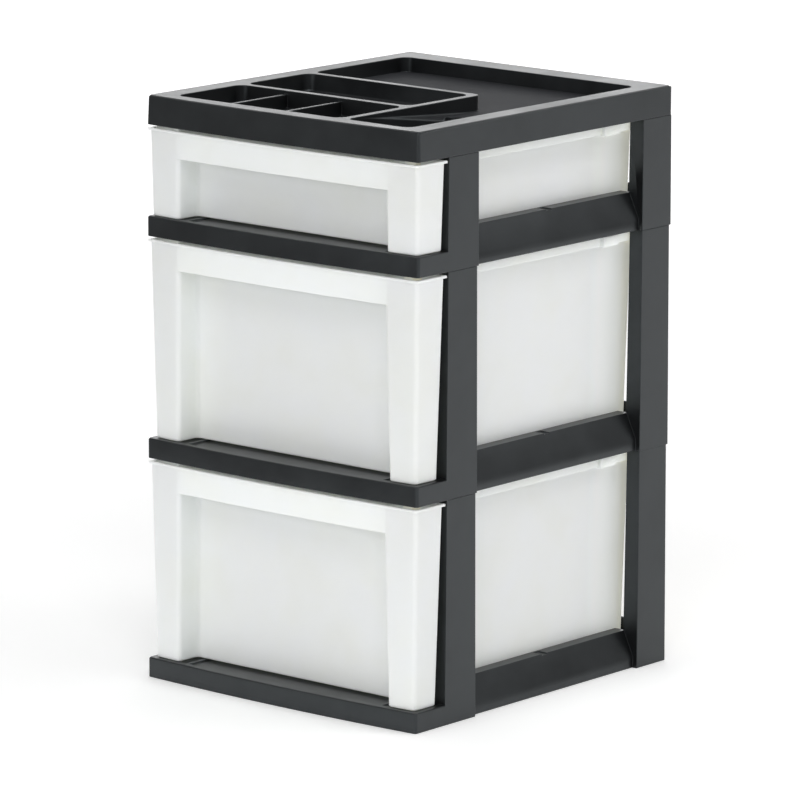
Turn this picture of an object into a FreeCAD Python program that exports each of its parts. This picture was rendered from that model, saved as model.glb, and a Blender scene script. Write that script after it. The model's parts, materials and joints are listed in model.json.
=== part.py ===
import FreeCAD, Part
import math
import os
import Sketcher

# Drawer tower for crafts and small parts. Three moulded tier frames stack on
# each other, each a shelf with four posts. Three translucent drawers slide on
# the shelves and a moulded organizer closes the top.
# X runs to the right, Y to the back, Z up. The origin is on the floor, under
# the middle of the tower.

DOC = FreeCAD.newDocument("DrawerTower")

# Driving dimensions in millimetres. Shares are plain ratios.
SIZES = {
    # Whole tower
    "front_width": 308.0,
    "rear_width": 301.2,
    "overall_depth": 354.0,
    "front_bow": 5.0,
    "deep_pitch": 197.0,
    "shallow_pitch": 98.0,
    "top_height": 26.0,
    # Tier frame
    "frame_wall": 2.4,
    "shelf_top": 16.5,
    "shelf_thickness": 2.4,
    "lip_top": 18.0,
    "lip_land": 7.0,
    "edge_bevel": 1.2,
    "front_round": 3.0,
    "post_setback": 40.0,
    "post_length": 41.0,
    "post_depth": 16.0,
    "post_lean_share": 0.0055,
    "post_cap": 3.0,
    "peg_height": 9.0,
    "peg_gap": 0.3,
    "rail_inset": 4.6,
    "rail_band": 10.3,
    "rail_slant": 10.4,
    "rail_ledge": 12.0,
    "rail_height": 32.5,
    "runner_inset": 14.0,
    "runner_width": 4.0,
    "notch_width": 7.0,
    "notch_depth": 1.2,
    "rib_relief": 4.0,
    "rib_thickness": 2.0,
    # Drawers
    "drawer_wall": 2.0,
    "drawer_floor": 2.2,
    "drawer_setback": 0.3,
    "glide_gap": 0.3,
    "guide_gap": 0.6,
    "drawer_headroom": 2.6,
    "draft_share": 0.02,
    "cheek_width": 36.0,
    "cheek_inset": 2.0,
    "cheek_gap": 1.2,
    "recess_depth": 22.0,
    "bar_height": 24.0,
    "bar_thickness": 1.8,
    "bar_inset": 0.3,
    "rim_thickness": 2.2,
    "rim_overhang": 1.2,
    "rim_gap": 1.0,
    "hem_height": 6.0,
    "hem_thickness": 1.8,
    "rear_clearance": 23.5,
    "corner_round": 4.0,
    "foot_bevel": 1.0,
    "tab_setback": 36.0,
    "tab_length": 21.0,
    "tab_height": 9.0,
    "tab_reach": 4.0,
    # Organizer top
    "top_lean_share": 0.04,
    "top_plate": 2.2,
    "side_rim": 19.0,
    "front_rim": 13.5,
    "rear_rim": 29.0,
    "well_wall": 7.5,
    "front_row": 84.0,
    "middle_row": 82.0,
    "block_width": 186.0,
    "cup_depth": 16.0,
    "tray_depth": 13.5,
    "pocket_depth": 20.0,
    "pocket_length": 136.0,
    "pocket_round": 9.0,
    "floor_bevel": 2.0,
    "divider_width": 3.4,
    "divider_drop": 3.0,
    "divider_one": 51.0,
    "divider_two": 113.0,
    "socket_rib": 2.0,
    # How far a cut runs past the face that it opens
    "overrun": 2.0,
}


class Size:
    """A length that knows its value and the spreadsheet formula behind it."""

    def __init__(self, value, formula):
        self.value = value
        self.formula = formula

    def __add__(self, other):
        other = size_of(other)
        return Size(self.value + other.value, "(%s + %s)" % (self.formula, other.formula))

    def __sub__(self, other):
        other = size_of(other)
        return Size(self.value - other.value, "(%s - %s)" % (self.formula, other.formula))

    def __mul__(self, other):
        other = size_of(other)
        return Size(self.value * other.value, "(%s * %s)" % (self.formula, other.formula))

    def __truediv__(self, other):
        other = size_of(other)
        return Size(self.value / other.value, "(%s / %s)" % (self.formula, other.formula))

    def __neg__(self):
        return Size(-self.value, "(0 - %s)" % self.formula)


def size_of(thing):
    """Return thing as a Size. A plain number is its own formula."""
    if isinstance(thing, Size):
        return thing
    return Size(float(thing), "%.6f" % thing)


def make_sheet():
    """Write the driving dimensions into a spreadsheet, one alias a row."""
    sheet = DOC.addObject("Spreadsheet::Sheet", "Sizes")
    named = {}
    for row, (name, value) in enumerate(SIZES.items(), start=1):
        sheet.set("A%d" % row, name.replace("_", " "))
        sheet.set("B%d" % row, str(value))
        sheet.setAlias("B%d" % row, name)
        named[name] = Size(float(value), "Sizes.%s" % name)
    DOC.recompute()
    return named


S = make_sheet()
NONE = size_of(0)

# Levels and plan lines that several pieces share
FRONT_HALF = S["front_width"] / 2
REAR_HALF = S["rear_width"] / 2
REAR = S["overall_depth"] / 2
FRONT = S["front_bow"] - REAR
POST_FRONT = FRONT + S["post_setback"]
POST_BACK = POST_FRONT + S["post_length"]
REAR_POST_FRONT = REAR - S["post_length"]
RAIL_SPAN = S["rail_inset"] + S["rail_slant"] + S["rail_ledge"]
PEG_INSET = S["frame_wall"] + S["peg_gap"]
TIER_TWO = S["deep_pitch"]
TIER_THREE = TIER_TWO + S["deep_pitch"]
TOP_LEVEL = TIER_THREE + S["shallow_pitch"]
GLIDE = S["lip_top"] + S["glide_gap"]
CHEEK_OUT = FRONT_HALF - S["cheek_inset"]
CHEEK_SLOPE = S["front_bow"] * 2 / FRONT_HALF


def side(y):
    """Half width of the tower at y. Its sides draw in evenly to the back."""
    return FRONT_HALF - (FRONT_HALF - REAR_HALF) * ((y - FRONT) / (REAR - FRONT))


def new_body(label, level):
    """A body with its own label, standing at a level of the tower."""
    body = DOC.addObject("PartDesign::Body", label)
    body.Label = label
    body.Placement = FreeCAD.Placement()
    body.setExpression("Placement.Base.z", level.formula)
    return body


def new_sketch(body, label, role="XY_Plane", offset=NONE):
    """A sketch on one of the body's own planes, moved off along its normal."""
    sketch = body.newObject("Sketcher::SketchObject", label)
    for plane in body.Origin.OriginFeatures:
        if plane.Role == role:
            sketch.AttachmentSupport = [(plane, "")]
    sketch.MapMode = "FlatFace"
    sketch.setExpression("AttachmentOffset.Base.z", offset.formula)
    return sketch


def fix_point(rules, formulas, geometry, position, corner):
    """Tie one point of the sketch to its place on the sheet."""
    x, y = corner
    for kind, axis, size in (("DistanceX", -2, x), ("DistanceY", -1, y)):
        if abs(size.value) > 1e-9:
            rules.append(Sketcher.Constraint(kind, -1, 1, geometry, position, size.value))
            formulas[len(rules) - 1] = size.formula
        else:
            rules.append(Sketcher.Constraint("PointOnObject", geometry, position, axis))


def draw(sketch, corners, rounds=None, bows=None):
    """Draw one closed outline whose corners, rounds and bows follow the sheet.

    corners holds (x, y) sizes in order. rounds gives the radius of a rounded
    corner by its number. bows gives, by the number of the side that starts at
    that corner, how far the side arches towards the front.
    """
    rounds = rounds or {}
    bows = bows or {}
    count = len(corners)
    up = FreeCAD.Vector(0, 0, 1)
    points = [FreeCAD.Vector(x.value, y.value, 0) for x, y in corners]
    arrive = list(points)
    leave = list(points)
    arcs = {}
    for i, radius in rounds.items():
        before = (points[i - 1] - points[i]).normalize()
        after = (points[(i + 1) % count] - points[i]).normalize()
        half = before.getAngle(after) / 2
        run = radius.value / math.tan(half)
        arrive[i] = points[i] + before * run
        leave[i] = points[i] + after * run
        middle = (before + after).normalize() * (radius.value / math.sin(half))
        centre = points[i] + middle
        turns_left = (points[i] - points[i - 1]).cross(after).z > 0
        first, last = (arrive[i], leave[i]) if turns_left else (leave[i], arrive[i])
        start = math.atan2(first.y - centre.y, first.x - centre.x)
        end = math.atan2(last.y - centre.y, last.x - centre.x)
        arcs[i] = (Part.ArcOfCircle(Part.Circle(centre, up, radius.value), start, end), turns_left)
    rules = []
    formulas = {}
    starts = []
    ends = []
    for i in range(count):
        p, q = leave[i], arrive[(i + 1) % count]
        if i in bows:
            bow = bows[i]
            chord = corners[(i + 1) % count][0] - corners[i][0]
            radius = (chord * chord / 4 + bow * bow) / (bow * 2)
            left, right = (p, q) if p.x < q.x else (q, p)
            centre = FreeCAD.Vector((p.x + q.x) / 2, p.y - bow.value + radius.value, 0)
            start = math.atan2(left.y - centre.y, left.x - centre.x)
            end = math.atan2(right.y - centre.y, right.x - centre.x)
            circle = Part.Circle(centre, up, radius.value)
            side_id = sketch.addGeometry(Part.ArcOfCircle(circle, start, end), False)
            rules.append(Sketcher.Constraint("Radius", side_id, radius.value))
            formulas[len(rules) - 1] = radius.formula
            forward = p.x < q.x
            starts.append((side_id, 1 if forward else 2))
            ends.append((side_id, 2 if forward else 1))
        else:
            side_id = sketch.addGeometry(Part.LineSegment(p, q), False)
            starts.append((side_id, 1))
            ends.append((side_id, 2))
    for i in range(count):
        came, goes = ends[i - 1], starts[i]
        if i in rounds:
            arc, turns_left = arcs[i]
            arc_id = sketch.addGeometry(arc, False)
            head, tail = (1, 2) if turns_left else (2, 1)
            rules.append(Sketcher.Constraint("Tangent", came[0], came[1], arc_id, head))
            rules.append(Sketcher.Constraint("Tangent", arc_id, tail, goes[0], goes[1]))
            rules.append(Sketcher.Constraint("Radius", arc_id, rounds[i].value))
            formulas[len(rules) - 1] = rounds[i].formula
            mark = sketch.addGeometry(Part.Point(points[i]), True)
            rules.append(Sketcher.Constraint("PointOnObject", mark, 1, came[0]))
            rules.append(Sketcher.Constraint("PointOnObject", mark, 1, goes[0]))
            fix_point(rules, formulas, mark, 1, corners[i])
        else:
            rules.append(Sketcher.Constraint("Coincident", came[0], came[1], goes[0], goes[1]))
            fix_point(rules, formulas, goes[0], goes[1], corners[i])
    made = sketch.addConstraint(rules)
    for index, formula in formulas.items():
        sketch.setExpression("Constraints[%d]" % made[index], formula)


def finish(body, feature, before):
    """Recompute and make sure that the feature changed the solid."""
    DOC.recompute()
    after = body.Shape.Volume
    if abs(after - before) < 1e-6:
        raise RuntimeError("%s changes nothing" % feature.Label)
    if ("Pocket" in feature.TypeId or "Subtractive" in feature.TypeId) and after > before:
        raise RuntimeError("%s adds to the solid" % feature.Label)
    return feature


def volume(body):
    """Volume so far, zero before the first feature."""
    return 0.0 if body.Shape.isNull() else body.Shape.Volume


def pad(body, label, sketch, length, lean=None):
    """Raise the sketch upward. A lean is the share that its sides draw in."""
    before = volume(body)
    feature = body.newObject("PartDesign::Pad", label)
    feature.Profile = sketch
    feature.setExpression("Length", length.formula)
    if lean is not None:
        feature.setExpression("TaperAngle", "-atan(%s)" % lean.formula)
    sketch.Visibility = False
    return finish(body, feature, before)


def pocket(body, label, sketch, length, upward, lean=None):
    """Cut the sketch into the body, up or down from its plane."""
    before = volume(body)
    feature = body.newObject("PartDesign::Pocket", label)
    feature.Profile = sketch
    feature.Reversed = upward
    feature.setExpression("Length", length.formula)
    if lean is not None:
        feature.setExpression("TaperAngle", "-atan(%s)" % lean.formula)
    sketch.Visibility = False
    return finish(body, feature, before)


def loft(body, label, sketches, adds):
    """Straight walls through the sketches, added to the body or cut from it."""
    before = volume(body)
    kind = "PartDesign::AdditiveLoft" if adds else "PartDesign::SubtractiveLoft"
    feature = body.newObject(kind, label)
    feature.Profile = sketches[0]
    feature.Sections = sketches[1:]
    feature.Ruled = True
    return finish(body, feature, before)


def names_of(wanted, everything, kind):
    """The names of the wanted edges or faces among all of a shape's."""
    names = []
    for number, part in enumerate(everything, start=1):
        if any(part.isSame(other) for other in wanted):
            names.append("%s%d" % (kind, number))
    return names


def draft(body, label, foot, brim, outside):
    """Lean the upright walls between two heights, in towards the foot.

    The walls keep their place at the brim. Outside walls face outwards, and
    the others face into a hollow.
    """
    base = body.Tip
    before = volume(body)
    faces = base.Shape.Faces
    top = level_faces(base.Shape, brim.value)[0]
    walls = []
    for face in faces:
        box = face.BoundBox
        if abs(box.ZMin - foot.value) < 1e-6 and abs(box.ZMax - brim.value) < 1e-6:
            walls.append(face)
    feature = body.newObject("PartDesign::Draft", label)
    feature.Base = (base, names_of(walls, faces, "Face"))
    feature.NeutralPlane = (base, names_of([top], faces, "Face"))
    feature.Reversed = outside
    feature.setExpression("Angle", "atan(%s)" % S["draft_share"].formula)
    return finish(body, feature, before)


def dress(body, label, edges, size, rounded):
    """Round the given edges of the body, or bevel them."""
    base = body.Tip
    before = volume(body)
    kind = "PartDesign::Fillet" if rounded else "PartDesign::Chamfer"
    feature = body.newObject(kind, label)
    feature.Base = (base, names_of(edges, base.Shape.Edges, "Edge"))
    feature.setExpression("Radius" if rounded else "Size", size.formula)
    return finish(body, feature, before)


def level_faces(shape, z):
    """The flat faces that lie level at height z, the largest one first."""
    found = []
    for face in shape.Faces:
        box = face.BoundBox
        if abs(box.ZMin - z) < 1e-6 and abs(box.ZMax - z) < 1e-6:
            found.append(face)
    return sorted(found, key=lambda face: -face.Area)


def floor_at(shape, x, y, z):
    """The flat face at height z that holds the point x, y."""
    spot = FreeCAD.Vector(x.value, y.value, z.value)
    for face in level_faces(shape, z.value):
        if face.isInside(spot, 1e-6, True):
            return face
    raise RuntimeError("no floor at %s" % spot)


def upright_edges(shape, z):
    """The edges that rise from height z."""
    found = []
    for edge in shape.Edges:
        box = edge.BoundBox
        if box.ZLength > box.XLength + box.YLength and abs(box.ZMin - z) < 1e-6:
            found.append(edge)
    return found


def repeat(body, label, feature, length, count):
    """Copies of a feature, evenly spaced over a length to the back."""
    before = volume(body)
    pattern = body.newObject("PartDesign::LinearPattern", label)
    pattern.Originals = [feature]
    for axis in body.Origin.OriginFeatures:
        if axis.Role == "Y_Axis":
            pattern.Direction = (axis, [""])
    pattern.setExpression("Length", length.formula)
    pattern.Occurrences = count
    body.Tip = pattern
    return finish(body, pattern, before)


def mirrored(corners):
    """The same corners on the left side, in the order that closes the outline."""
    return [(-x, y) for x, y in reversed(corners)]


def both_sides(right):
    """A whole outline from its right half, front to back."""
    return right + mirrored(right)


def box(sketch, left, right, low, high, radius=None):
    """A rectangle in plan, with rounded corners where a radius is given."""
    corners = [(left, low), (right, low), (right, high), (left, high)]
    rounds = {i: radius for i in range(4)} if radius is not None else None
    draw(sketch, corners, rounds)


def post_spans():
    """Front and back of the front posts and of the rear posts."""
    return ((POST_FRONT, POST_BACK), (REAR_POST_FRONT, REAR))


def post_quad(sketch, low, high, outer, inner, hand):
    """One post in plan, between two distances in from the tower's side."""
    corners = [
        ((side(low) - inner) * hand, low),
        ((side(low) - outer) * hand, low),
        ((side(high) - outer) * hand, high),
        ((side(high) - inner) * hand, high),
    ]
    draw(sketch, corners)


def four_posts(sketch, margin, outer, inner):
    """All four posts in one sketch, drawn in by a margin at front and back."""
    for low, high in post_spans():
        for hand in (1, -1):
            post_quad(sketch, low + margin, high - margin, outer, inner, hand)


def rail_section(body, label, y, hand, wall, bottom):
    """The rail across its length: a straight band, a slanted face, a ledge."""
    sketch = new_sketch(body, label, "XZ_Plane", -y)
    outer = side(y) - S["rail_inset"] - wall
    crest = outer - S["rail_slant"]
    inner = side(y) - RAIL_SPAN + wall
    corners = [
        (inner * hand, bottom),
        (outer * hand, bottom),
        (outer * hand, S["rail_band"]),
        (crest * hand, S["rail_height"] - wall),
        (inner * hand, S["rail_height"] - wall),
    ]
    draw(sketch, corners)
    return sketch


def tier_frame(label, level, pitch):
    """One moulding: a shelf with lip, rails and rear wall, and four posts."""
    body = new_body(label, level)
    wall = S["frame_wall"]

    # Shelf, full under the posts and narrower between them, under the rails
    sketch = new_sketch(body, label + "_shelf_plan")
    half_ledge = RAIL_SPAN - S["rail_ledge"] / 2
    right = [
        (FRONT_HALF, FRONT),
        (side(POST_BACK), POST_BACK),
        (side(POST_BACK) - half_ledge, POST_BACK),
        (side(REAR_POST_FRONT) - half_ledge, REAR_POST_FRONT),
        (side(REAR_POST_FRONT), REAR_POST_FRONT),
        (REAR_HALF, REAR),
    ]
    corners = both_sides(right)
    last = len(corners) - 1
    turn = S["front_round"]
    draw(sketch, corners, {0: turn, last: turn}, {last: S["front_bow"]})
    pad(body, label + "_shelf", sketch, S["lip_top"])
    edges = []
    for edge in level_faces(body.Tip.Shape, S["lip_top"].value)[0].OuterWire.Edges:
        if edge.BoundBox.YMin < (POST_FRONT - S["lip_land"]).value:
            edges.append(edge)
    dress(body, label + "_lip_bevel", edges, S["edge_bevel"], False)

    # Shallow dish that leaves the front lip standing
    sketch = new_sketch(body, label + "_dish_plan", offset=S["lip_top"])
    land = S["lip_land"]
    dish_back = REAR - wall
    right = [
        (FRONT_HALF - land, FRONT + land),
        (side(POST_FRONT) - land, POST_FRONT),
        (side(POST_FRONT) - RAIL_SPAN, POST_FRONT),
        (side(dish_back) - RAIL_SPAN, dish_back),
    ]
    corners = both_sides(right)
    draw(sketch, corners, bows={len(corners) - 1: S["front_bow"]})
    pocket(body, label + "_dish", sketch, S["lip_top"] - S["shelf_top"], False)

    # Two runners level with the lip, which the drawer glides on
    sketch = new_sketch(body, label + "_runner_plan", offset=S["shelf_top"])
    near = RAIL_SPAN + S["runner_inset"]
    for hand in (1, -1):
        post_quad(sketch, FRONT + land / 2, dish_back + wall / 2, near, near + S["runner_width"], hand)
    pad(body, label + "_runners", sketch, S["lip_top"] - S["shelf_top"])

    # Side rails between the posts
    for hand, name in ((1, "right"), (-1, "left")):
        start = rail_section(body, label + "_rail_front_" + name, POST_BACK - wall, hand, NONE, NONE)
        end = rail_section(body, label + "_rail_rear_" + name, REAR_POST_FRONT + wall, hand, NONE, NONE)
        loft(body, label + "_rail_" + name, [start, end], True)

    # Rear wall of the shelf
    sketch = new_sketch(body, label + "_rear_wall_plan")
    reach = REAR_HALF - S["post_depth"] / 2
    box(sketch, -reach, reach, REAR - wall, REAR)
    pad(body, label + "_rear_wall", sketch, S["rail_height"])

    # Posts that lean in a little, with pegs that enter the piece above
    sketch = new_sketch(body, label + "_post_foot_plan")
    four_posts(sketch, NONE, NONE, S["post_depth"])
    pad(body, label + "_post_feet", sketch, S["lip_top"])
    sketch = new_sketch(body, label + "_post_plan", offset=S["lip_top"])
    four_posts(sketch, NONE, NONE, S["post_depth"])
    pad(body, label + "_posts", sketch, pitch - S["lip_top"], S["post_lean_share"])
    sketch = new_sketch(body, label + "_peg_plan", offset=pitch)
    four_posts(sketch, PEG_INSET, PEG_INSET, S["post_depth"] - PEG_INSET)
    pad(body, label + "_pegs", sketch, S["peg_height"])

    # Posts are open channels that face the drawers, and the pegs are hollow
    sketch = new_sketch(body, label + "_channel_plan", offset=S["shelf_top"])
    four_posts(sketch, wall, wall, S["post_depth"] + S["overrun"])
    channel = pitch - S["shelf_top"] - S["post_cap"]
    pocket(body, label + "_channels", sketch, channel, True, S["post_lean_share"])
    sketch = new_sketch(body, label + "_peg_bore_plan", offset=pitch - S["post_cap"])
    bore = PEG_INSET + wall
    four_posts(sketch, bore, bore, S["post_depth"] - bore)
    pocket(body, label + "_peg_bores", sketch, S["post_cap"] + S["peg_height"] - wall, True)

    # Rails are hollow from below
    for hand, name in ((1, "right"), (-1, "left")):
        low = -S["overrun"]
        start = rail_section(body, label + "_hollow_front_" + name, POST_BACK + wall, hand, wall, low)
        end = rail_section(body, label + "_hollow_rear_" + name, REAR_POST_FRONT - wall, hand, wall, low)
        loft(body, label + "_hollow_" + name, [start, end], False)

    # Moulded notch in the middle of each ledge
    for hand, name in ((1, "right"), (-1, "left")):
        middle = (POST_BACK + REAR_POST_FRONT) / 2
        sketch = new_sketch(body, label + "_notch_plan_" + name, offset=S["rail_height"])
        inner = side(middle) - RAIL_SPAN + wall
        outer = side(middle) - S["rail_inset"] - S["rail_slant"] + wall
        low = middle - S["notch_width"] / 2
        high = middle + S["notch_width"] / 2
        corners = [(inner * hand, low), (outer * hand, low), (outer * hand, high), (inner * hand, high)]
        draw(sketch, corners)
        pocket(body, label + "_notch_" + name, sketch, S["notch_depth"], False)

    underside(body, label)
    return body


def underside(body, label):
    """Hollow the shelf from below, with ribs, and sockets over the posts."""
    wall = S["frame_wall"]
    rib = S["rib_thickness"]
    depth = S["shelf_top"] - S["shelf_thickness"]
    sketch = new_sketch(body, label + "_relief_plan")
    right = [
        (FRONT_HALF - wall, FRONT + wall),
        (side(POST_BACK) - wall, POST_BACK - wall),
        (side(POST_BACK) - RAIL_SPAN, POST_BACK - wall),
        (side(REAR_POST_FRONT) - RAIL_SPAN, REAR_POST_FRONT + wall),
        (side(REAR_POST_FRONT) - wall, REAR_POST_FRONT + wall),
        (REAR_HALF - wall, REAR - wall),
    ]
    corners = both_sides(right)
    draw(sketch, corners, bows={len(corners) - 1: S["front_bow"]})
    pocket(body, label + "_relief", sketch, S["rib_relief"], True)

    # Rows of cells between the ribs of the shelf
    sketch = new_sketch(body, label + "_cell_plan")
    half = REAR_HALF - RAIL_SPAN - wall
    low = FRONT + wall
    high = REAR - wall
    columns = 4
    rows = 5
    column = (half * 2 + rib) / columns
    row = (high - low + rib) / rows
    for i in range(columns):
        x = column * i - half
        box(sketch, x, x + column - rib, low, low + row - rib)
    cells = pocket(body, label + "_cells", sketch, depth, True)
    repeat(body, label + "_cell_rows", cells, row * (rows - 1), rows)

    # Bays beside the lip, and a socket over each post of the tier below
    sketch = new_sketch(body, label + "_socket_plan")
    inner = half + rib
    for hand in (1, -1):
        bay_back = POST_FRONT - rib + wall
        corners = [
            (inner * hand, FRONT + wall),
            ((FRONT_HALF - wall) * hand, FRONT + wall),
            ((side(bay_back) - wall) * hand, bay_back),
            (inner * hand, bay_back),
        ]
        draw(sketch, corners)
    socket = S["frame_wall"]
    four_posts(sketch, socket, socket, S["post_depth"] - socket)
    for low, high in post_spans():
        for hand in (1, -1):
            edge = S["post_depth"] - socket + rib
            corners = [
                (inner * hand, low + socket),
                ((side(low + socket) - edge) * hand, low + socket),
                ((side(high - socket) - edge) * hand, high - socket),
                (inner * hand, high - socket),
            ]
            draw(sketch, corners)
    pocket(body, label + "_sockets", sketch, depth, True)


def drawer_outline(height, inset):
    """The drawer's walls in plan at its brim, drawn in by an inset.

    Two cheeks stand before the front posts, with a recess between them, and
    the narrower body runs back between the rails.
    """
    face = FRONT + S["drawer_setback"] + S["rim_overhang"]
    front = face + inset
    out = CHEEK_OUT - inset
    into = CHEEK_OUT - S["cheek_width"] + inset
    panel = face + S["recess_depth"] + inset
    cheek_back = POST_FRONT - S["cheek_gap"] - S["rim_overhang"] - inset
    rear = REAR - S["rear_clearance"] - inset
    rail_level = S["rail_height"] - GLIDE
    slack = RAIL_SPAN + S["guide_gap"] + inset - S["draft_share"] * (height - rail_level)
    return both_sides([
        (into, panel),
        (into, front - CHEEK_SLOPE * (CHEEK_OUT - into)),
        (out, front - CHEEK_SLOPE * (CHEEK_OUT - out)),
        (out, cheek_back),
        (side(cheek_back) - slack, cheek_back),
        (side(rear) - slack, rear),
    ])


def drawer(label, level, pitch):
    """One drawer: a thin drafted box with two cheeks and a handle bar."""
    height = pitch - GLIDE - S["drawer_headroom"]
    body = new_body(label, level + GLIDE)

    # A box with even walls, which lean out as they rise
    wall = S["drawer_wall"]
    floor = S["drawer_floor"]
    sketch = new_sketch(body, label + "_plan")
    draw(sketch, drawer_outline(height, NONE))
    pad(body, label + "_walls", sketch, height)
    sketch = new_sketch(body, label + "_inner_plan", offset=height)
    draw(sketch, drawer_outline(height, wall))
    pocket(body, label + "_inside", sketch, height - floor, False)
    draft(body, label + "_inner_draft", floor, height, False)
    draft(body, label + "_outer_draft", NONE, height, True)

    # Rounded upright corners and a bevelled foot
    turn = S["corner_round"]
    dress(body, label + "_inner_corners", upright_edges(body.Tip.Shape, floor.value), turn - wall, True)
    dress(body, label + "_outer_corners", upright_edges(body.Tip.Shape, 0), turn, True)
    foot = level_faces(body.Tip.Shape, 0)[0]
    dress(body, label + "_foot_bevel", foot.OuterWire.Edges, S["foot_bevel"], False)

    # Rim all round, which also roofs the finger recess
    over = S["rim_overhang"]
    rim_level = height - S["rim_thickness"]
    front = FRONT + S["drawer_setback"]
    cheek_edge = CHEEK_OUT + over
    cheek_back = POST_FRONT - S["cheek_gap"]
    rim_rear = REAR - S["rear_clearance"] + over
    rim_edge = S["post_depth"] + S["rim_gap"]
    sketch = new_sketch(body, label + "_rim_plan", offset=rim_level)
    right = [
        (cheek_edge, front),
        (cheek_edge, cheek_back),
        (side(cheek_back) - rim_edge, cheek_back),
        (side(rim_rear) - rim_edge, rim_rear),
    ]
    corners = both_sides(right)
    draw(sketch, corners, bows={len(corners) - 1: S["front_bow"]})
    corners = drawer_outline(height, wall / 2)
    draw(sketch, corners, {i: turn - wall / 2 for i in range(len(corners))})
    pad(body, label + "_rim", sketch, S["rim_thickness"])

    # Handle bar across the recess
    sketch = new_sketch(body, label + "_bar_plan", offset=height - S["bar_height"])
    end = CHEEK_OUT - S["cheek_width"] + S["corner_round"]
    bow = S["front_bow"] * (end / FRONT_HALF) * (end / FRONT_HALF)
    ahead = front + over - CHEEK_SLOPE * (CHEEK_OUT - end) + S["bar_inset"]
    behind = ahead + S["bar_thickness"]
    corners = [(-end, ahead), (end, ahead), (end, behind), (-end, behind)]
    draw(sketch, corners, bows={0: bow, 2: bow})
    pad(body, label + "_bar", sketch, S["bar_height"] - S["rim_thickness"])

    # Hems along the side rims, with a stop tab at the back of each
    sketch = new_sketch(body, label + "_hem_plan", offset=rim_level - S["hem_height"])
    hem_inner = rim_edge + S["hem_thickness"]
    for hand in (1, -1):
        post_quad(sketch, cheek_back, rim_rear, rim_edge, hem_inner, hand)
    pad(body, label + "_hems", sketch, S["hem_height"])
    sketch = new_sketch(body, label + "_tab_plan", offset=height - S["tab_height"])
    tab_high = rim_rear - S["tab_setback"]
    tab_low = tab_high - S["tab_length"]
    for hand in (1, -1):
        post_quad(sketch, tab_low, tab_high, rim_edge - S["tab_reach"], hem_inner, hand)
    pad(body, label + "_tabs", sketch, S["tab_height"])

    return body


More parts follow.
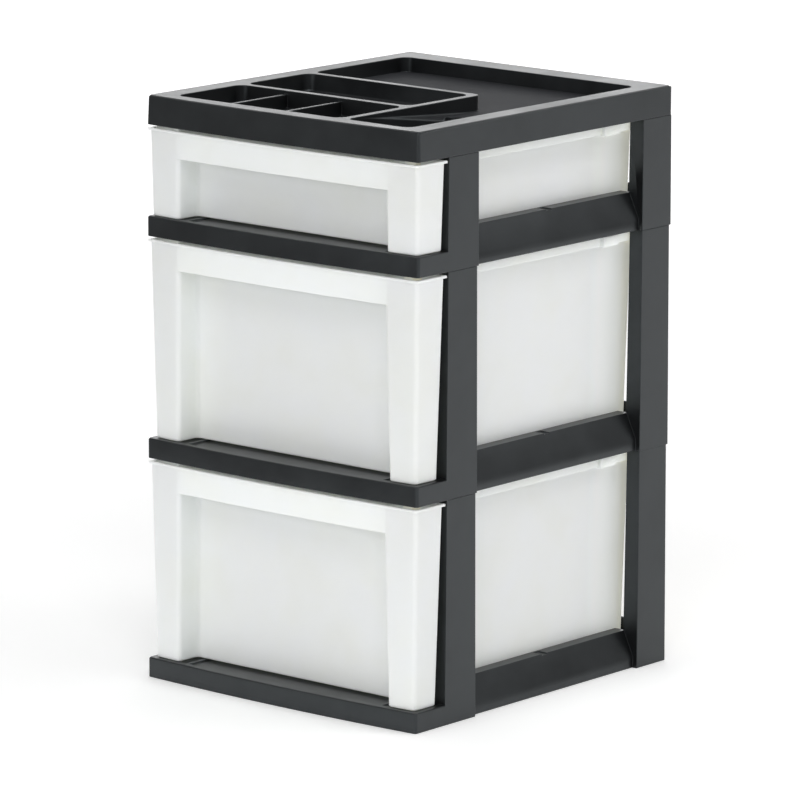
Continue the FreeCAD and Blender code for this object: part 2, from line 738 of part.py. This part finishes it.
def organizer_top(label, level):
    """The lid of the tower: a skirt, a flat rim, and cups and trays sunk in."""
    body = new_body(label, level)
    wall = S["frame_wall"]
    high = S["top_height"]

    # Skirt and bevelled rim as one solid, then hollowed from below
    rim = high - S["edge_bevel"]
    lean = S["top_lean_share"]
    turn = S["front_round"]
    for name, foot, rise, slope in (("skirt", NONE, rim, lean), ("rim", rim, S["edge_bevel"], size_of(1))):
        draw_in = foot * lean
        sketch = new_sketch(body, label + "_" + name + "_plan", offset=foot)
        edges = [(FRONT_HALF - draw_in, FRONT + draw_in), (REAR_HALF - draw_in, REAR - draw_in)]
        draw(sketch, both_sides(edges), {i: turn for i in range(4)}, {3: S["front_bow"]})
        pad(body, label + "_" + name, sketch, rise, slope)
    sketch = new_sketch(body, label + "_hollow_plan")
    corners = both_sides([(FRONT_HALF - wall, FRONT + wall), (REAR_HALF - wall, REAR - wall)])
    draw(sketch, corners, bows={len(corners) - 1: S["front_bow"]})
    pocket(body, label + "_hollow", sketch, high - S["top_plate"], True)

    # Plan lines of the cups and trays
    left = S["side_rim"] - REAR_HALF
    right = REAR_HALF - S["side_rim"]
    front = FRONT + S["front_rim"]
    back = REAR - S["rear_rim"]
    row_end = front + S["front_row"]
    middle = row_end + S["well_wall"]
    middle_end = middle + S["middle_row"]
    tray = middle_end + S["well_wall"]
    block_right = left + S["block_width"]
    lane = block_right + S["well_wall"]
    pocket_end = front + S["pocket_length"]
    skin = S["top_plate"]

    def well(name, x0, x1, y0, y1, depth):
        """Outside of one well, hanging from the rim."""
        under = high - depth - skin
        plan = new_sketch(body, label + "_" + name + "_plan", offset=under)
        box(plan, x0 - skin, x1 + skin, y0 - skin, y1 + skin)
        pad(body, label + "_" + name + "_well", plan, high - skin / 2 - under)

    well("cups", left, block_right, front, middle_end, S["cup_depth"])
    well("tray", left, right, tray, back, S["tray_depth"])
    well("lane", lane, right, front, back, S["tray_depth"])
    well("pocket", lane, right, front, pocket_end, S["pocket_depth"])

    def sink(name, outline, depth, eased):
        """Inside of one well, cut from the rim down, with an eased floor or a plain one."""
        plan = new_sketch(body, label + "_" + name + "_inside_plan", offset=high)
        draw(plan, outline, {i: radius for i in range(len(outline))})
        pocket(body, label + "_" + name + "_inside", plan, depth, False)
        if eased:
            x, y = outline[0]
            floor = floor_at(body.Tip.Shape, x + radius, y + radius, high - depth)
            dress(body, label + "_" + name + "_floor_bevel", floor.OuterWire.Edges, S["floor_bevel"], False)

    radius = S["pocket_round"]

    sink("row", [(left, front), (block_right, front), (block_right, row_end), (left, row_end)],
         S["cup_depth"], True)
    sink("middle", [(left, middle), (block_right, middle), (block_right, middle_end), (left, middle_end)],
         S["cup_depth"], True)
    ell = [
        (lane, front),
        (right, front),
        (right, back),
        (left, back),
        (left, tray),
        (lane, tray),
    ]
    sink("tray", ell, S["tray_depth"], False)
    sink("pocket", [(lane, front), (right, front), (right, pocket_end), (lane, pocket_end)],
         S["pocket_depth"], True)

    # Two low dividers in the front row
    sketch = new_sketch(body, label + "_divider_plan", offset=high - S["cup_depth"] - skin / 2)
    for place in (S["divider_one"], S["divider_two"]):
        x = left + place
        box(sketch, x, x + S["divider_width"], front - skin / 2, row_end + skin / 2)
    pad(body, label + "_dividers", sketch, S["cup_depth"] + skin / 2 - S["divider_drop"])

    # Socket ribs before and behind each post's peg
    sketch = new_sketch(body, label + "_rib_plan", offset=S["rib_relief"])
    edge = S["side_rim"] - skin - (FRONT_HALF - REAR_HALF)
    for low, high_y in post_spans():
        for start in (low + wall - S["socket_rib"], high_y - wall):
            for hand in (1, -1):
                post_quad(sketch, start, start + S["socket_rib"], wall / 2, edge, hand)
    pad(body, label + "_ribs", sketch, high - S["rib_relief"] - skin / 2)
    return body


def same_moulding(label, original, level):
    """Another copy of a moulding, with its foot at a level of its own."""
    body = new_body(label, level)
    copy = DOC.addObject("PartDesign::FeatureBase", label + "_copy")
    body.Group = [copy]
    body.Tip = copy
    copy.BaseFeature = original
    DOC.recompute()


frame_lower = tier_frame("tier_frame_lower", NONE, S["deep_pitch"])
same_moulding("tier_frame_middle", frame_lower, TIER_TWO)
tier_frame("tier_frame_upper", TIER_THREE, S["shallow_pitch"])
organizer_top("organizer_top", TOP_LEVEL)
drawer_lower = drawer("drawer_lower", NONE, S["deep_pitch"])
same_moulding("drawer_middle", drawer_lower, TIER_TWO + GLIDE)
drawer("drawer_upper", TIER_THREE, S["shallow_pitch"])

DOC.recompute()
PIECES = [thing for thing in DOC.Objects if thing.TypeId == "PartDesign::Body"]
for thing in DOC.Objects:
    if "Invalid" in thing.State or "Error" in thing.State:
        raise RuntimeError("%s failed: %s" % (thing.Label, thing.State))
for piece in PIECES:
    if piece.Shape.isNull() or not piece.Shape.isValid():
        raise RuntimeError("%s has no valid solid" % piece.Label)
    if len(piece.Shape.Solids) != 1:
        raise RuntimeError("%s is not one solid" % piece.Label)

os.makedirs("parts", exist_ok=True)
for piece in PIECES:
    piece.Shape.exportStep("parts/%s.step" % piece.Label)
    print("%-20s %9.1f mm3 %4d faces" % (piece.Label, piece.Shape.Volume, len(piece.Shape.Faces)))
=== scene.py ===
"""Dresses the drawer tower: black styrene frames, a divided top and milky drawers.

Lengths are in metres. X runs to the right, Y to the back, Z up.
"""
import json
import math

import bmesh
import bpy
import numpy as np
from bpy.props import FloatProperty, FloatVectorProperty, StringProperty
from mathutils import Matrix, Vector
from mathutils.bvhtree import BVHTree


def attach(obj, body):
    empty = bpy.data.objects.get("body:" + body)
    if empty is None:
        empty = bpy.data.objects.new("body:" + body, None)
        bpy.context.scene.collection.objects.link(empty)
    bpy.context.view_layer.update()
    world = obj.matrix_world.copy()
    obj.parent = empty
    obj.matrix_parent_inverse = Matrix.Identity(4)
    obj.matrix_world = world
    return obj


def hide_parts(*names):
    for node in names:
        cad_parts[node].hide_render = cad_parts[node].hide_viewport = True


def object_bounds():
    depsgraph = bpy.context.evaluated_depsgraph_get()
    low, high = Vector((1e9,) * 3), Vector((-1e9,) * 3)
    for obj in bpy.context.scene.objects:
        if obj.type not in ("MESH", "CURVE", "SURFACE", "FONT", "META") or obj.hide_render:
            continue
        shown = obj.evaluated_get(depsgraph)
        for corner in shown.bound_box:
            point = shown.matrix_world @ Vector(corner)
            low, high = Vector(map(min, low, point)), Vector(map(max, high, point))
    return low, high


bl_info = {
    "name": "Drawer Tower",
    "version": (1, 0, 0),
    "blender": (4, 5, 0),
    "location": "View3D > Sidebar > Tower",
    "description": "Builds a plastic drawer tower around its packed frame",
    "category": "Object",
}

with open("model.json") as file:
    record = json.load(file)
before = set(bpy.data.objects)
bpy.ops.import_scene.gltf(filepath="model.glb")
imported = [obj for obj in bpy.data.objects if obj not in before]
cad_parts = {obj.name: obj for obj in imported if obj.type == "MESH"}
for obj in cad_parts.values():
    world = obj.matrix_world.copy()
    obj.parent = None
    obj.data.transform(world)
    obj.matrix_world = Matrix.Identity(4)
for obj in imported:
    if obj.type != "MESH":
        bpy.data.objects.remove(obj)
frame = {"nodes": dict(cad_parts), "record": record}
CAD_BOX = [list(corner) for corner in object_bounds()]
LOW, HIGH = Vector(CAD_BOX[0]), Vector(CAD_BOX[1])
MIDDLE = (LOW + HIGH) / 2

FRAMES = ("tier_frame_lower", "tier_frame_middle", "tier_frame_upper")
DRAWERS = ("drawer_lower", "drawer_middle", "drawer_upper")
BODIES = frame["record"]["behaviour"]["bodies"]
BODY_OF = {node: body for body, nodes in BODIES.items() for node in nodes}

# Lengths and angles of the eased edges
MM = 0.001
MERGE = 0.002 * MM                 # corners nearer than this are one
FLAT = math.radians(0.5)           # faces that turn by less are one
SHARP = math.radians(52)           # edges that turn by more are eased
CARRIES_ON = 0.5                   # sine of the turn within one curved edge
ROOM_SHARE = 0.42                  # a bevel's part of the room beside it
STRAY_SHARE = 0.6                  # how far a bevel's corner may leave the skin
STRAY_REACH = 1.2 * MM             # how much further its edges are looked for
STRAY_ROUNDS = 4                   # how often strays are looked for

# Band below the top's rim that holds the floors of its wells, as depths
WELL_START, WELL_FULL, WELL_LAST, WELL_END = (depth * MM for depth in (6, 8, 22, 24))

# Softboxes: name, place, target, width and height, and watts. The last one
# lights the paper behind the tower, which the black top mirrors.
SOFTBOXES = (
    ("key_softbox", (2.0, -2.3, 2.9), MIDDLE, (1.6, 1.6), 42),
    ("front_softbox", (-0.3, -3.5, 1.3), MIDDLE, (1.6, 1.2), 29),
    ("right_softbox", (2.4, 1.6, 2.4), MIDDLE, (1.8, 1.8), 25),
    ("top_softbox", (0.0, 0.3, 2.6), MIDDLE, (1.8, 1.8), 14),
    ("back_softbox", (-3.8, 5.3, 4.0), (-4.8, 6.7, 1.6), (4.0, 2.0), 90),
)
ROOM_LIGHT = 0.33


# Colours and nodes

def linear(code):
    """An sRGB hex colour as linear RGBA."""
    parts = [int(code[i:i + 2], 16) / 255 for i in (1, 3, 5)]
    parts = [v / 12.92 if v <= 0.04045 else ((v + 0.055) / 1.055) ** 2.4 for v in parts]
    return (*parts, 1.0)


def add_node(tree, kind, settings=None, inputs=None):
    """Add a node, set its properties, and fill or link its inputs by name or number."""
    node = tree.nodes.new(kind)
    for name, value in (settings or {}).items():
        setattr(node, name, value)
    for name, value in (inputs or {}).items():
        if isinstance(value, bpy.types.NodeSocket):
            tree.links.new(value, node.inputs[name])
        else:
            node.inputs[name].default_value = value
    return node


def new_material(name):
    """An empty node material and its tree."""
    material = bpy.data.materials.get(name)
    if material is None:
        material = bpy.data.materials.new(name)
    material.use_nodes = True
    material.node_tree.nodes.clear()
    return material, material.node_tree


def grain(tree, size, strength, depth):
    """A fine moulded grain as a bump, from the size of its bumps in metres."""
    place = add_node(tree, "ShaderNodeTexCoord")
    noise = add_node(tree, "ShaderNodeTexNoise", inputs={
        "Vector": place.outputs["Object"], "Scale": 1 / size, "Detail": 2.0, "Roughness": 0.5})
    return add_node(tree, "ShaderNodeBump", inputs={
        "Height": noise.outputs["Fac"], "Strength": strength, "Distance": depth})


def black_styrene(look):
    """High-impact polystyrene, moulded in a lightly polished steel tool.

    It is a deep neutral black with a satin skin. The skin has a faint
    orange-peel from the flow of the melt, and slightly duller patches where
    the mould was vented. The floors of the wells are matt, because the tool
    was spark-eroded there and not polished.
    """
    material, tree = new_material("moulded_black_polystyrene")
    place = add_node(tree, "ShaderNodeTexCoord")

    # Level faces in the band of the wells' floors
    axes = add_node(tree, "ShaderNodeSeparateXYZ", inputs={"Vector": place.outputs["Object"]})
    facing = add_node(tree, "ShaderNodeSeparateXYZ", inputs={"Vector": place.outputs["Normal"]})
    sunk = add_node(tree, "ShaderNodeMapRange", inputs={
        "Value": axes.outputs["Z"], "From Min": HIGH.z - WELL_FULL, "From Max": HIGH.z - WELL_START,
        "To Min": 1, "To Max": 0})
    lid = add_node(tree, "ShaderNodeMapRange", inputs={
        "Value": axes.outputs["Z"], "From Min": HIGH.z - WELL_END, "From Max": HIGH.z - WELL_LAST,
        "To Min": 0, "To Max": 1})
    level = add_node(tree, "ShaderNodeMapRange", inputs={
        "Value": facing.outputs["Z"], "From Min": 0.85, "From Max": 0.97, "To Min": 0, "To Max": 1})
    band = add_node(tree, "ShaderNodeMath", {"operation": "MULTIPLY"}, {
        0: sunk.outputs["Result"], 1: lid.outputs["Result"]})
    matt = add_node(tree, "ShaderNodeMath", {"operation": "MULTIPLY"}, {
        0: band.outputs["Value"], 1: level.outputs["Result"]})

    # Duller and brighter patches of the skin, about 60 mm across
    patches = add_node(tree, "ShaderNodeTexNoise", inputs={
        "Vector": place.outputs["Object"], "Scale": 1 / (60 * MM), "Detail": 3.0, "Roughness": 0.6})
    sheen = add_node(tree, "ShaderNodeMapRange", inputs={
        "Value": patches.outputs["Fac"], "From Min": 0.3, "From Max": 0.7,
        "To Min": look.frame_roughness - 0.04, "To Max": look.frame_roughness + 0.06})
    eroded = add_node(tree, "ShaderNodeMath", {"operation": "MULTIPLY"}, {
        0: matt.outputs["Value"], 1: 0.75})
    dull = add_node(tree, "ShaderNodeMath", {"operation": "MAXIMUM"}, {
        0: sheen.outputs["Result"], 1: eroded.outputs["Value"]})
    mottle = add_node(tree, "ShaderNodeMapRange", inputs={
        "Value": patches.outputs["Fac"], "From Min": 0.3, "From Max": 0.7,
        "To Min": 0.44, "To Max": 0.56})
    loss = add_node(tree, "ShaderNodeMapRange", inputs={
        "Value": matt.outputs["Value"], "From Min": 0, "From Max": 1,
        "To Min": 1, "To Max": 0.44})
    gleam = add_node(tree, "ShaderNodeMath", {"operation": "MULTIPLY"}, {
        0: mottle.outputs["Result"], 1: loss.outputs["Result"]})

    skin = add_node(tree, "ShaderNodeMix", {"data_type": "RGBA"}, {
        "Factor": matt.outputs["Value"],
        "A": linear(look.frame_colour), "B": linear(look.well_colour)})
    peel = grain(tree, 2.5 * MM, 0.12, 0.05 * MM)
    # Painted reflection: the specular tint gives the reflections a cool blue cast, for the bluish
    # light around the tower
    shader = add_node(tree, "ShaderNodeBsdfPrincipled", inputs={
        "Base Color": skin.outputs["Result"], "Roughness": dull.outputs["Value"],
        "Specular IOR Level": gleam.outputs["Value"], "IOR": 1.59,
        "Specular Tint": (0.87, 0.955, 1.0, 1.0), "Normal": peel.outputs["Normal"]})
    add_node(tree, "ShaderNodeOutputMaterial", inputs={"Surface": shader.outputs["BSDF"]})
    return material


def milky_polypropylene(look):
    """Natural polypropylene, moulded 2 mm thick with no pigment.

    Light goes a few millimetres into it and scatters, so a wall glows with
    what is behind it, and its skin is waxy rather than clear. The melt's flow
    leaves faint milkier clouds about 70 mm across. A weak painted glow stands
    in for the light that goes to and fro inside the hollow drawer, and a
    stronger painted glow near the rear of its sides for the light that comes
    in through the rear wall. There the colour is also painted cream, for the
    warm tone of that light.
    """
    material, tree = new_material("moulded_natural_polypropylene")
    haze = grain(tree, 4 * MM, 0.06, 0.05 * MM)
    place = add_node(tree, "ShaderNodeTexCoord")
    axes = add_node(tree, "ShaderNodeSeparateXYZ", inputs={"Vector": place.outputs["Object"]})
    facing = add_node(tree, "ShaderNodeSeparateXYZ", inputs={"Vector": place.outputs["Normal"]})
    rear_light_full = look.rear_light_from + 14 * MM

    # Painted glow of the sides, for light inside the drawer, stronger towards their rear
    sideways = add_node(tree, "ShaderNodeMath", {"operation": "ABSOLUTE"}, {0: facing.outputs["X"]})
    behind = add_node(tree, "ShaderNodeMapRange", inputs={
        "Value": axes.outputs["Y"], "From Min": look.rear_light_from - 36 * MM, "From Max": rear_light_full,
        "To Min": 0, "To Max": 0.23})
    rear_glow = add_node(tree, "ShaderNodeMath", {"operation": "MULTIPLY"}, {
        0: sideways.outputs["Value"], 1: behind.outputs["Result"]})
    # Painted glow all over, for light bouncing inside the hollow drawer
    glow = add_node(tree, "ShaderNodeMath", {"operation": "ADD"}, {
        0: rear_glow.outputs["Value"], 1: 0.07})

    # Milkier clouds, and the rear painted cream for the warm light through the rear wall
    clouds = add_node(tree, "ShaderNodeTexNoise", inputs={
        "Vector": place.outputs["Object"], "Scale": 1 / (70 * MM), "Detail": 2.0, "Roughness": 0.5})
    cloudy = add_node(tree, "ShaderNodeMapRange", inputs={
        "Value": clouds.outputs["Fac"], "From Min": 0.35, "From Max": 0.65,
        "To Min": 0, "To Max": 1})
    milk = add_node(tree, "ShaderNodeMix", {"data_type": "RGBA"}, {
        "Factor": cloudy.outputs["Result"],
        "A": linear(look.drawer_colour), "B": linear(look.cloud_colour)})
    # Painted light: the drawers turn cream towards the rear, for the warm light through the rear
    # wall
    warm_rear_light = add_node(tree, "ShaderNodeMapRange", inputs={
        "Value": axes.outputs["Y"], "From Min": look.rear_light_from, "From Max": rear_light_full,
        "To Min": 0, "To Max": 1})
    tone = add_node(tree, "ShaderNodeMix", {"data_type": "RGBA"}, {
        "Factor": warm_rear_light.outputs["Result"],
        "A": milk.outputs["Result"], "B": linear(look.rear_light_colour)})

    shader = add_node(tree, "ShaderNodeBsdfPrincipled", inputs={
        "Base Color": tone.outputs["Result"], "Roughness": 0.42, "IOR": 1.49,
        "Emission Color": linear(look.glow_colour), "Emission Strength": glow.outputs["Value"],
        "Subsurface Weight": 1.0, "Subsurface Radius": (1.0, 1.0, 0.95),
        "Subsurface Scale": 6 * MM, "Normal": haze.outputs["Normal"]})
    add_node(tree, "ShaderNodeOutputMaterial", inputs={"Surface": shader.outputs["BSDF"]})
    return material


def studio_paper(look):
    """Matt white background paper, lit from below like a light table.

    Its glow grows with the distance from the tower, in metres.
    """
    material, tree = new_material("studio_paper")
    place = add_node(tree, "ShaderNodeTexCoord")
    away = add_node(tree, "ShaderNodeVectorMath", {"operation": "LENGTH"}, {
        "Vector": place.outputs["Object"]})
    glow = add_node(tree, "ShaderNodeMapRange", inputs={
        "Value": away.outputs["Value"], "From Min": 0.6, "From Max": 3.0,
        "To Min": 0.25, "To Max": 0.62})
    shader = add_node(tree, "ShaderNodeBsdfPrincipled", inputs={
        "Base Color": linear(look.paper_colour), "Roughness": 0.9,
        "Emission Color": linear(look.paper_colour), "Emission Strength": glow.outputs["Result"]})
    add_node(tree, "ShaderNodeOutputMaterial", inputs={"Surface": shader.outputs["BSDF"]})
    return material


# Meshes

def room_beside(edge, face):
    """The widest bevel that fits beside an edge in one of its faces.

    It is the length of the face's next edge at each end, times the sine of
    its angle with this one. A sharp edge that only carries this one on, as
    round a curve, sets no limit.
    """
    loop = next(item for item in face.loops if item.edge == edge)
    before, after = loop.link_loop_prev, loop.link_loop_next
    along = (after.vert.co - loop.vert.co).normalized()
    room = math.inf
    for corner, other, beside in ((loop.vert, before.vert, before.edge),
                                  (after.vert, after.link_loop_next.vert, after.edge)):
        side = other.co - corner.co
        slant = side.normalized().cross(along).length
        if slant > CARRIES_ON or beside.calc_face_angle(0.0) < SHARP:
            room = min(room, side.length * slant)
    return room


def spare_strays(piece, skin, limit):
    """Leave out the bevels whose corners would stray from the skin."""
    mesh = piece.data
    weights = mesh.attributes["bevel_weight_edge"].data
    values = np.empty(len(mesh.edges), dtype=np.float32)
    weights.foreach_get("value", values)
    ends = np.empty(len(mesh.edges) * 2, dtype=np.int32)
    mesh.edges.foreach_get("vertices", ends)
    points = np.empty(len(mesh.vertices) * 3, dtype=np.float32)
    mesh.vertices.foreach_get("co", points)
    points = points.reshape(-1, 3)
    ends = ends.reshape(-1, 2)
    for _ in range(STRAY_ROUNDS):
        bpy.context.view_layer.update()
        eased = piece.evaluated_get(bpy.context.evaluated_depsgraph_get())
        corners = [vertex.co.copy() for vertex in eased.to_mesh().vertices]
        eased.to_mesh_clear()
        strays = [(np.array(spot), skin.find_nearest(spot)[3]) for spot in corners]
        strays = [(spot, far) for spot, far in strays if far > limit]
        if not strays:
            return
        for spot, far in strays:
            near = np.linalg.norm(points - spot, axis=1) < far + STRAY_REACH
            values[near[ends].any(axis=1)] = 0
        weights.foreach_set("value", values)
        mesh.update()


def softened(node, material, width):
    """A copy of a moulding with its sharp edges eased to a small radius.

    Its faces are merged back from triangles first. Each edge that turns by
    more than the limit gets an arc of the given width, or of less where the
    faces beside it have no room for that.
    """
    name = node + "_moulding"
    mesh = frame["nodes"][node].data.copy()
    mesh.name = name
    work = bmesh.new()
    work.from_mesh(mesh)
    skin = BVHTree.FromBMesh(work)
    bmesh.ops.remove_doubles(work, verts=work.verts, dist=MERGE)
    bmesh.ops.dissolve_limit(work, angle_limit=FLAT, verts=work.verts, edges=work.edges)
    weight = work.edges.layers.float.new("bevel_weight_edge")
    for edge in work.edges:
        if edge.calc_face_angle(0.0) > SHARP:
            room = min(room_beside(edge, face) for face in edge.link_faces)
            edge[weight] = min(1.0, ROOM_SHARE * room / width)
    for face in work.faces:
        face.smooth = True
    work.to_mesh(mesh)
    work.free()
    for layer in list(mesh.attributes):
        if layer.name == "custom_normal":
            mesh.attributes.remove(layer)
    mesh.materials.clear()
    mesh.materials.append(material)
    piece = bpy.data.objects.new(name, mesh)
    bpy.context.scene.collection.objects.link(piece)
    ease = piece.modifiers.new("eased_edges", "BEVEL")
    ease.width = width
    ease.segments = 2
    ease.limit_method = "WEIGHT"
    ease.use_clamp_overlap = False
    spare_strays(piece, skin, STRAY_SHARE * width)
    even = piece.modifiers.new("even_shading", "WEIGHTED_NORMAL")
    even.keep_sharp = True
    even.weight = 80
    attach(piece, BODY_OF[node])
    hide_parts(node)
    return piece


def sweep_grid(front, bend, back, turn, height, near, far, right, heading, steps):
    """Vertices and faces of a studio sweep.

    The profile runs level from front to back, turns up through a quarter
    circle of radius turn, and rises to height. It is carried to the right,
    and to the left by near up to the bend and from there by more, to far at
    the back, then turned by heading about Z.
    """
    angle = np.linspace(0, math.pi / 2, steps)
    y = np.concatenate(([front, bend], back + turn * np.sin(angle), [back + turn]))
    z = np.concatenate(([0, 0], turn * (1 - np.cos(angle)), [height]))
    left = np.interp(y, [bend, back], [near, far])
    x = np.stack((-left, np.full_like(y, right)), axis=1)
    y, z = (np.repeat(values[:, None], 2, axis=1) for values in (y, z))
    points = np.stack((x * math.cos(heading) - y * math.sin(heading),
                       x * math.sin(heading) + y * math.cos(heading), z), axis=-1).reshape(-1, 3)
    first = np.arange(len(y) - 1) * 2
    faces = np.stack((first, first + 1, first + 3, first + 2), axis=1)
    return points, faces


# Sizes and colours a user would change

class TowerLook(bpy.types.PropertyGroup):
    frame_colour: StringProperty(
        name="Frame colour", description="sRGB hex of the black mouldings", default="#0f0f10")
    frame_roughness: FloatProperty(
        name="Frame roughness", description="Dullness of the black skin",
        default=0.34, min=0.05, max=1.0, subtype="FACTOR")
    frame_edge: FloatProperty(
        name="Frame edge", description="Radius of the black mouldings' edges",
        default=0.6 * MM, unit="LENGTH")
    well_colour: StringProperty(
        name="Well floors", description="sRGB hex of the organizer's matt floors",
        default="#2a2a2d")
    drawer_colour: StringProperty(
        name="Drawer colour", description="sRGB hex of the drawers", default="#f1f5f6")
    drawer_edge: FloatProperty(
        name="Drawer edge", description="Radius of the drawers' thin edges",
        default=0.45 * MM, unit="LENGTH")
    cloud_colour: StringProperty(
        name="Drawer clouds", description="sRGB hex of the milkier parts of the drawers",
        default="#eef1ec")
    glow_colour: StringProperty(
        name="Drawer glow", description="sRGB hex of the light inside the drawers",
        default="#f2f6ee")
    # Cream painted on the drawers' rear, for warm light coming through the rear wall
    rear_light_colour: StringProperty(
        name="Rear colour", description="sRGB hex of the drawers' rear corners",
        default="#ebe4d2")
    # Where the painted rear light and its glow start along Y
    rear_light_from: FloatProperty(
        name="Rear colour from", description="Where the rear colour starts, along Y",
        default=131 * MM, unit="LENGTH")
    paper_colour: StringProperty(
        name="Paper colour", description="sRGB hex of the background", default="#f6f6f6")


class TowerStage(bpy.types.PropertyGroup):
    eye: FloatVectorProperty(
        name="Camera", description="Where the camera stands",
        size=3, default=(3.535, -4.200, 1.365), subtype="TRANSLATION", unit="LENGTH")
    azimuth: FloatProperty(
        name="Azimuth", description="Camera's turn to the right of the front",
        default=math.radians(40.17), unit="ROTATION")
    elevation: FloatProperty(
        name="Elevation", description="How far the camera looks down",
        default=math.radians(11.55), unit="ROTATION")
    roll: FloatProperty(
        name="Roll", description="Tilt of the camera about its line of sight",
        default=math.radians(0.31), unit="ROTATION")
    lens: FloatProperty(
        name="Lens", description="Focal length for a 36 mm sensor", default=287.2)


# Operators

class TOWER_OT_frames(bpy.types.Operator):
    """Dress the three tier frames"""
    bl_idname = "tower.frames"
    bl_label = "Tier frames"

    def execute(self, context):
        look = context.scene.tower_look
        material = black_styrene(look)
        for node in FRAMES:
            piece = softened(node, material, look.frame_edge)
        return {"FINISHED"}


class TOWER_OT_organizer(bpy.types.Operator):
    """Dress the organizer top"""
    bl_idname = "tower.organizer"
    bl_label = "Organizer top"

    def execute(self, context):
        look = context.scene.tower_look
        piece = softened("organizer_top", black_styrene(look), look.frame_edge)
        return {"FINISHED"}


class TOWER_OT_drawers(bpy.types.Operator):
    """Dress the three drawers"""
    bl_idname = "tower.drawers"
    bl_label = "Drawers"

    def execute(self, context):
        look = context.scene.tower_look
        material = milky_polypropylene(look)
        for node in DRAWERS:
            piece = softened(node, material, look.drawer_edge)
        return {"FINISHED"}


def lay_paper(heading, look):
    """The paper that the tower stands on, turned to the camera.

    It is narrow at the left, so that the black front faces have a dark side
    to mirror, and its back rises behind where any camera stands.
    """
    points, faces = sweep_grid(
        front=-6.0, bend=-0.86, back=7.0, turn=1.5, height=9.0,
        near=0.50, far=3.6, right=7.6, heading=heading, steps=24)
    mesh = bpy.data.meshes.new("paper_sweep")
    mesh.from_pydata(points.tolist(), [], faces.tolist())
    mesh.polygons.foreach_set("use_smooth", [True] * len(mesh.polygons))
    mesh.materials.append(studio_paper(look))
    sweep = bpy.data.objects.new("paper_sweep", mesh)
    bpy.context.scene.collection.objects.link(sweep)


def add_softbox(name, place, target, size, power):
    """A rectangular soft light that faces the target."""
    light = bpy.data.lights.new(name, "AREA")
    light.shape = "RECTANGLE"
    light.size, light.size_y = size
    light.energy = power
    lamp = bpy.data.objects.new(name, light)
    bpy.context.scene.collection.objects.link(lamp)
    lamp.location = place
    lamp.rotation_euler = (Vector(target) - Vector(place)).to_track_quat("-Z", "Y").to_euler()


def light_room(scene):
    """A dim even light from all around, as from a studio's far walls."""
    world = bpy.data.worlds.new("studio")
    world.use_nodes = True
    world.node_tree.nodes.clear()
    glow = add_node(world.node_tree, "ShaderNodeBackground", inputs={
        "Color": (1.0, 1.0, 1.0, 1.0), "Strength": ROOM_LIGHT})
    add_node(world.node_tree, "ShaderNodeOutputWorld", inputs={
        "Surface": glow.outputs["Background"]})
    scene.world = world


def place_camera(scene, stage):
    """The camera, at the photograph's place and angle."""
    lens = bpy.data.cameras.new("camera")
    lens.lens = stage.lens
    lens.sensor_width = 36.0
    lens.clip_end = 50.0
    camera = bpy.data.objects.new("camera", lens)
    scene.collection.objects.link(camera)
    sight = Vector((-math.sin(stage.azimuth) * math.cos(stage.elevation),
                    math.cos(stage.azimuth) * math.cos(stage.elevation),
                    -math.sin(stage.elevation)))
    right = sight.cross(Vector((0, 0, 1))).normalized()
    up = right.cross(sight)
    turn = Matrix.Rotation(stage.roll, 3, -sight)
    right, up = turn @ right, turn @ up
    axes = Matrix((right, up, -sight)).transposed().to_4x4()
    camera.matrix_world = Matrix.Translation(stage.eye) @ axes
    scene.camera = camera


class TOWER_OT_stage(bpy.types.Operator):
    """Set up the camera, the pale sweep and the studio light"""
    bl_idname = "tower.stage"
    bl_label = "Stage"

    def execute(self, context):
        scene = context.scene
        lay_paper(scene.tower_stage.azimuth, scene.tower_look)
        for softbox in SOFTBOXES:
            add_softbox(*softbox)
        light_room(scene)
        scene.view_settings.view_transform = "Standard"
        place_camera(scene, scene.tower_stage)
        return {"FINISHED"}


class TOWER_PT_panel(bpy.types.Panel):
    """Lists the tower's pieces and its stage"""
    bl_idname = "TOWER_PT_panel"
    bl_label = "Drawer tower"
    bl_space_type = "VIEW_3D"
    bl_region_type = "UI"
    bl_category = "Tower"

    def draw(self, context):
        for group in (context.scene.tower_look, context.scene.tower_stage):
            for name in group.bl_rna.properties.keys():
                if name not in ("rna_type", "name"):
                    self.layout.prop(group, name)
        for step in STEPS:
            self.layout.operator(step.bl_idname)


STEPS = (TOWER_OT_frames, TOWER_OT_organizer, TOWER_OT_drawers, TOWER_OT_stage)
CLASSES = (TowerLook, TowerStage) + STEPS + (TOWER_PT_panel,)


def register():
    for item in CLASSES:
        bpy.utils.register_class(item)
    bpy.types.Scene.tower_look = bpy.props.PointerProperty(type=TowerLook)
    bpy.types.Scene.tower_stage = bpy.props.PointerProperty(type=TowerStage)


def unregister():
    del bpy.types.Scene.tower_stage
    del bpy.types.Scene.tower_look
    for item in reversed(CLASSES):
        bpy.utils.unregister_class(item)


def main():
    register()
    bpy.ops.tower.frames()
    bpy.ops.tower.organizer()
    bpy.ops.tower.drawers()
    bpy.ops.tower.stage()
    bpy.context.view_layer.update()


if __name__ == "__main__":
    main()
